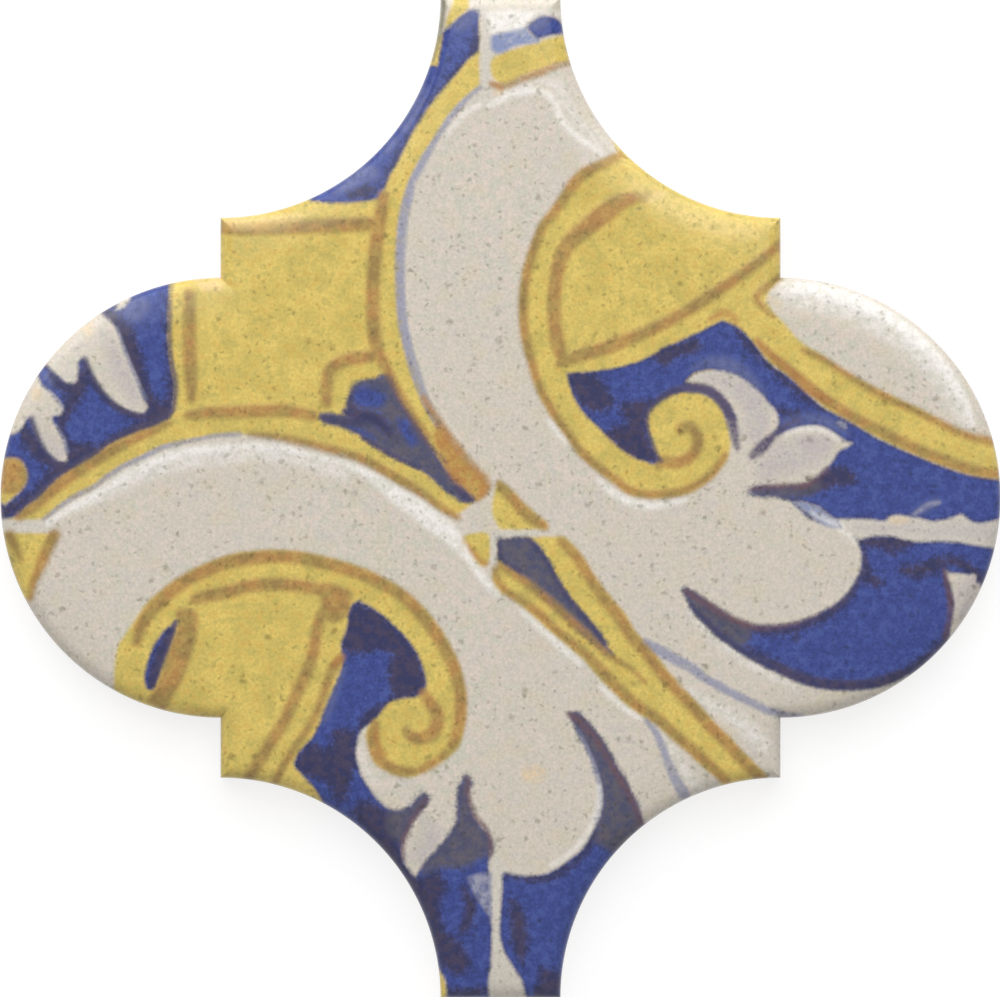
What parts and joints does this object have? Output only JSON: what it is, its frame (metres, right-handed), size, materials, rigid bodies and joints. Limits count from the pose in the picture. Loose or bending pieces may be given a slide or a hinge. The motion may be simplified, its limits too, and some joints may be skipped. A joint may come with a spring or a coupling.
{
  "type": "moroccan arabesque tile",
  "caption": "Glazed arabesque wall tile with a round lobe each side, a waisted neck above and below, and a painted acanthus scroll.",
  "frame": {"origin": "centre of the back, on the plane that the back rests on", "axes": "+Z out through the glazed face, +Y towards the neck that is uppermost on a wall, +X to the right seen from the glazed face"},
  "size_m": [0.15, 0.15, 0.008],
  "materials": {
    "glazed_tile": "gloss glaze painted in cobalt, yellow, ochre and cream over a fired biscuit body"
  },
  "bodies": {
    "root": {"tile": "glazed_tile"}
  },
  "joints": []
}
